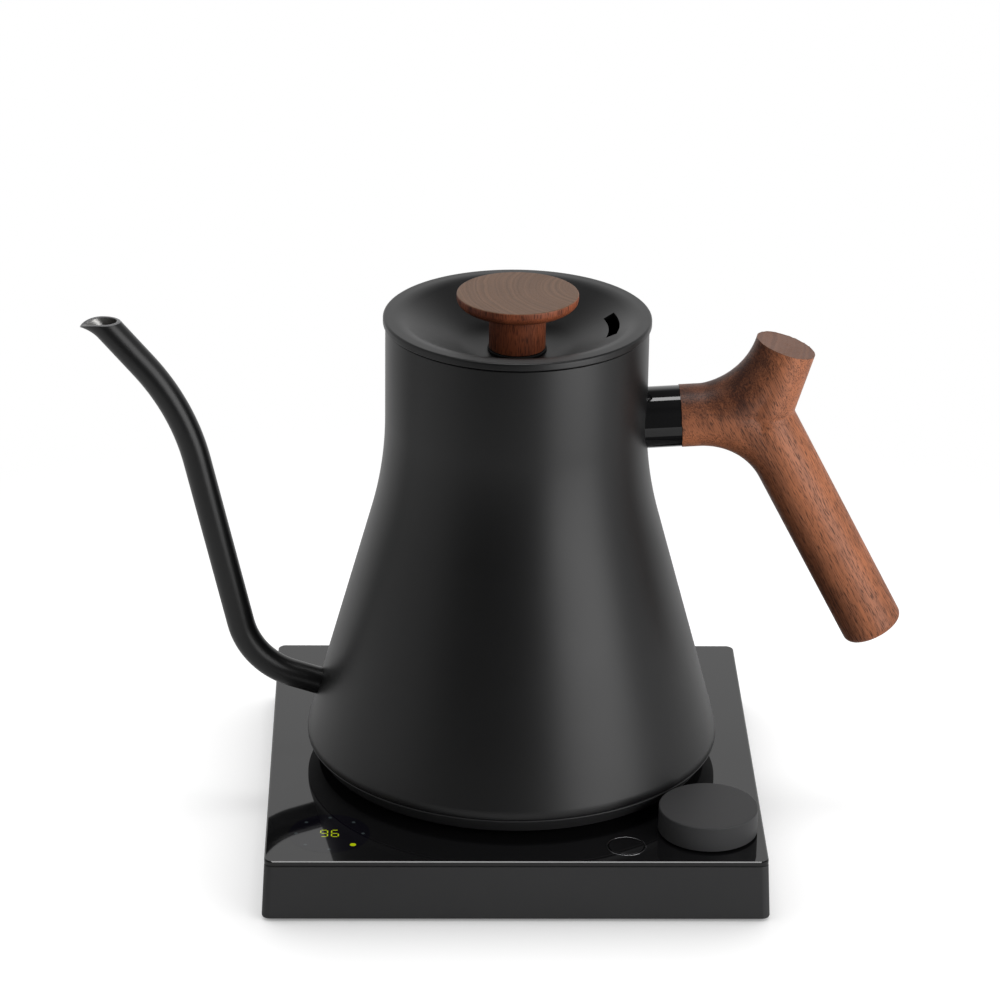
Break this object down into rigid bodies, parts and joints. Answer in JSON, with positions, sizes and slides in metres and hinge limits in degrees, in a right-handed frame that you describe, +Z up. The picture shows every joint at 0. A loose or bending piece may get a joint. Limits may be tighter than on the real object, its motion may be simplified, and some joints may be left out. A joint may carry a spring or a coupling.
{
  "type": "electric kettle",
  "caption": "Electric gooseneck kettle with a conical steel body, forked wooden handle and lid knob, standing on a square base with a dial, button and display.",
  "frame": {"origin": "on the kettle's vertical axis, on the surface that the base's rubber foot stands on", "axes": "+Z up, +X towards the handle with the spout at -X, controls at the front edge at -Y"},
  "size_m": [0.2837, 0.1736, 0.1944],
  "materials": {
    "satin_black_steel": "satin black powder coat",
    "bare_steel": "brushed",
    "walnut": "oiled, satin",
    "black_gloss": "polished",
    "black_matte": "fine moulded grain",
    "black_rubber": "matte",
    "silicone": "matte",
    "aluminium": "plain",
    "brass": "plain",
    "chrome": "polished",
    "circuit_board": "coated board",
    "dark_anodised": "fine satin, anodised black",
    "zinc_steel": "zinc plated"
  },
  "bodies": {
    "base": {"base_housing": "black_matte", "top_panel": "black_gloss", "bottom_plate": "black_matte", "rubber_foot": "black_rubber", "base_screws": "zinc_steel", "control_board": "circuit_board", "power_board": "circuit_board", "board_screws": "zinc_steel", "display_module": "black_gloss", "power_relay": "black_matte", "transformer": "black_matte", "terminal_block": "black_matte", "filter_capacitor": "aluminium", "power_socket": "black_matte", "socket_contacts": "brass", "socket_wires": "silicone", "cord_gland": "black_matte", "encoder_body": "zinc_steel", "encoder_nut": "zinc_steel", "dial_dome": "bare_steel", "button_bezel": "chrome", "button_switch": "black_matte", "button_dome": "silicone"},
    "kettle": {"kettle_shell": "satin_black_steel", "spout": "satin_black_steel", "heater_plate": "bare_steel", "heat_spreader": "aluminium", "heating_element": "bare_steel", "element_leads": "silicone", "temperature_probe": "bare_steel", "probe_seal": "silicone", "dry_boil_cutout": "black_matte", "cover_studs": "bare_steel", "cover_screws": "zinc_steel", "bottom_cover": "black_matte", "shell_gasket": "black_rubber", "kettle_coupler": "black_matte", "coupler_contacts": "brass", "handle_bracket": "bare_steel", "handle_collar": "black_gloss", "handle_bolt": "zinc_steel", "handle_insert": "brass", "handle": "walnut"},
    "lid": {"lid_cover": "satin_black_steel", "lid_skirt": "black_matte", "lid_seal": "silicone", "lid_liner": "bare_steel", "knob_washer": "black_rubber", "lid_knob": "walnut", "lid_screw": "zinc_steel"},
    "dial_rotor": {"encoder_rotor": "black_matte"},
    "dial": {"dial_shaft": "bare_steel", "dial_knob": "dark_anodised"},
    "button": {"button_cap": "black_gloss"}
  },
  "joints": [
    {"name": "kettle_lift", "type": "slide", "parent": "base", "child": "kettle", "axis": [0, 0, 1], "range_m": [0, 0.12]},
    {"name": "lid_lift", "type": "slide", "parent": "kettle", "child": "lid", "axis": [0, 0, 1], "range_m": [0, 0.06]},
    {"name": "dial_turn", "type": "hinge", "parent": "base", "child": "dial_rotor", "pos_m": [0.06568, -0.06211, 0.0222], "axis": [0, 0, 1], "continuous": true},
    {"name": "dial_press", "type": "slide", "parent": "dial_rotor", "child": "dial", "axis": [0, 0, -1], "range_m": [0, 0.0006], "stiffness_N_per_m": 1500, "deforming": ["dial_dome"]},
    {"name": "button_press", "type": "slide", "parent": "base", "child": "button", "axis": [0, 0, -1], "range_m": [0, 0.0008], "stiffness_N_per_m": 1200, "deforming": ["button_dome"]}
  ]
}
